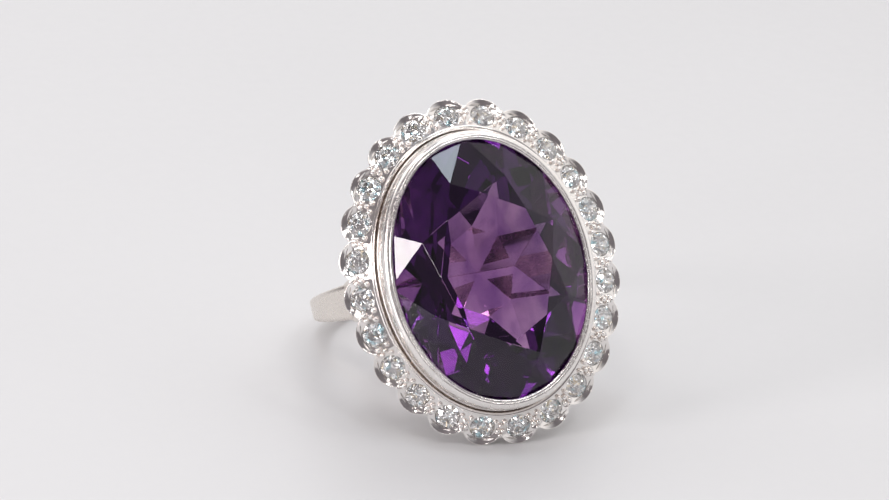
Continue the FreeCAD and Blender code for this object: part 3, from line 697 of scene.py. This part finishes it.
# ------------------------------------------------------------------ floor
fl = bpy.data.meshes.new("floor")
fl.from_pydata([(-1.2, -1.2, 0), (1.2, -1.2, 0), (1.2, 1.2, 0), (-1.2, 1.2, 0)], [], [(0, 1, 2, 3)])
floor = bpy.data.objects.new("floor", fl)
scene.collection.objects.link(floor)
net = Net("floor_paper")
p = net.new("ShaderNodeBsdfPrincipled")
base = coords(net)
net.link(net.tint(net.noise(base, 30.0, 3.0, 0.5), (0.68, 0.68, 0.69), (0.655, 0.655, 0.665)), p.inputs["Base Color"])
net.link(net.spread(net.noise(base, 900.0, 4.0, 0.6), 0.3, 0.7, 0.34, 0.46), p.inputs["Roughness"])
net.link(net.bump(net.noise(base, 3000.0, 4.0, 0.6), 0.04, 0.00002), p.inputs["Normal"])
net.link(p.outputs[0], net.out.inputs["Surface"])
dress(floor, net.mat)

# ------------------------------------------------------------------ camera
rz, ry, rx = math.radians(13.1), math.radians(13.5), math.radians(0.15)


def rot(axis, a):
    return np.array(Matrix.Rotation(a, 3, axis))


R = rot("Z", rz) @ rot("Y", ry) @ rot("X", rx)
cam_x, cam_y, cam_z = [unit(AX.T @ R[k]) for k in range(3)]
aim = to_row([[0, 0, HALO_Z]])[0]
cam = bpy.data.objects.new("camera", bpy.data.cameras.new("camera"))
scene.collection.objects.link(cam)
place = aim + cam_z * 0.250
cam.matrix_world = Matrix(
    [
        [cam_x[0], cam_y[0], cam_z[0], place[0]],
        [cam_x[1], cam_y[1], cam_z[1], place[1]],
        [cam_x[2], cam_y[2], cam_z[2], place[2]],
        [0, 0, 0, 1],
    ]
)
cam.data.sensor_fit, cam.data.sensor_width = "HORIZONTAL", 36.0
cam.data.lens = 153.3
cam.data.shift_x, cam.data.shift_y = -0.0423, 0.0241
cam.data.clip_start, cam.data.clip_end = 0.01, 10.0
scene.camera = cam


# ------------------------------------------------------------------ light
def softbox(name, direction, distance, sx, sy, power, colour=(1, 1, 1)):
    li = bpy.data.lights.new(name, "AREA")
    li.shape, li.size, li.size_y = "RECTANGLE", sx, sy
    li.energy, li.color = power, colour
    ob = bpy.data.objects.new(name, li)
    scene.collection.objects.link(ob)
    d = Vector(direction)
    ob.location = Vector(aim) + d * distance
    ob.rotation_euler = d.to_track_quat("Z", "Y").to_euler()
    return ob


def compass(az, el):
    """Direction at an azimuth to the right of the ring's front, and an elevation, in degrees."""
    a, e = math.radians(az), math.radians(el)
    return (math.sin(a) * math.cos(e), -math.cos(a) * math.cos(e), math.sin(e))


world = bpy.data.worlds.new("studio")
scene.world = world
world.use_nodes = True
wn = world.node_tree
wn.nodes.clear()
wo = wn.nodes.new("ShaderNodeOutputWorld")
bg = wn.nodes.new("ShaderNodeBackground")
tc = wn.nodes.new("ShaderNodeTexCoord")
dot = wn.nodes.new("ShaderNodeVectorMath")
dot.operation = "DOT_PRODUCT"
dot.inputs[1].default_value = compass(130, 8)
mr = wn.nodes.new("ShaderNodeMapRange")
mr.inputs["From Min"].default_value, mr.inputs["From Max"].default_value = -1.0, 1.0
rp = wn.nodes.new("ShaderNodeValToRGB")
wn.links.new(tc.outputs["Generated"], dot.inputs[0])
wn.links.new(dot.outputs["Value"], mr.inputs["Value"])
wn.links.new(mr.outputs["Result"], rp.inputs["Fac"])
el = rp.color_ramp.elements
el[0].position, el[0].color = 0.0, (0.23, 0.21, 0.22, 1)
el[1].position, el[1].color = 1.0, (1.05, 1.03, 1.02, 1)
for pos, c in ((0.24, (0.19, 0.17, 0.18)), (0.42, (0.15, 0.14, 0.15)), (0.55, (0.40, 0.39, 0.40)), (0.68, (0.90, 0.88, 0.88))):
    e = el.new(pos)
    e.color = c + (1,)
wn.links.new(rp.outputs["Color"], bg.inputs["Color"])
bg.inputs["Strength"].default_value = 1.0
wn.links.new(bg.outputs[0], wo.inputs["Surface"])

# a wide soft light from above for the floor, kept out of the mirror-bright surfaces
fill = softbox("overhead_fill", compass(150, 70), 0.70, 0.60, 0.60, 0.15, (1.0, 0.995, 0.99))
fill.visible_glossy = fill.visible_transmission = False
# the small bright windows that the stone's left and upper facets mirror
softbox("left_window", compass(-71, 13), 0.50, 0.115, 0.125, 0.9, (1.0, 0.94, 0.94))
softbox("high_window", compass(-91, 83), 0.50, 0.09, 0.09, 0.20, (0.80, 0.90, 1.0))
# sparkle lights in between the directions that the stone's crown mirrors, for the metal and the small stones
for k, (az, el, size, power) in enumerate(
    ((-36, 63, 0.085, 0.27), (15, 59, 0.07, 0.20), (-45, 22, 0.055, 0.09), (-6, 16, 0.050, 0.07), (-118, 38, 0.30, 0.40), (165, 55, 0.28, 0.30), (-20, 43, 0.040, 0.07), (62, 66, 0.05, 0.11), (-100, 60, 0.08, 0.12))
):
    softbox("sparkle_%d" % k, compass(az, el), 0.50, size, size, power, (1.0, 0.98, 0.97))

scene.view_settings.view_transform = "Standard"
scene.view_settings.look = "None"
scene.cycles.max_bounces = 24
scene.cycles.transmission_bounces = 24
scene.cycles.glossy_bounces = 12
scene.cycles.transparent_max_bounces = 16
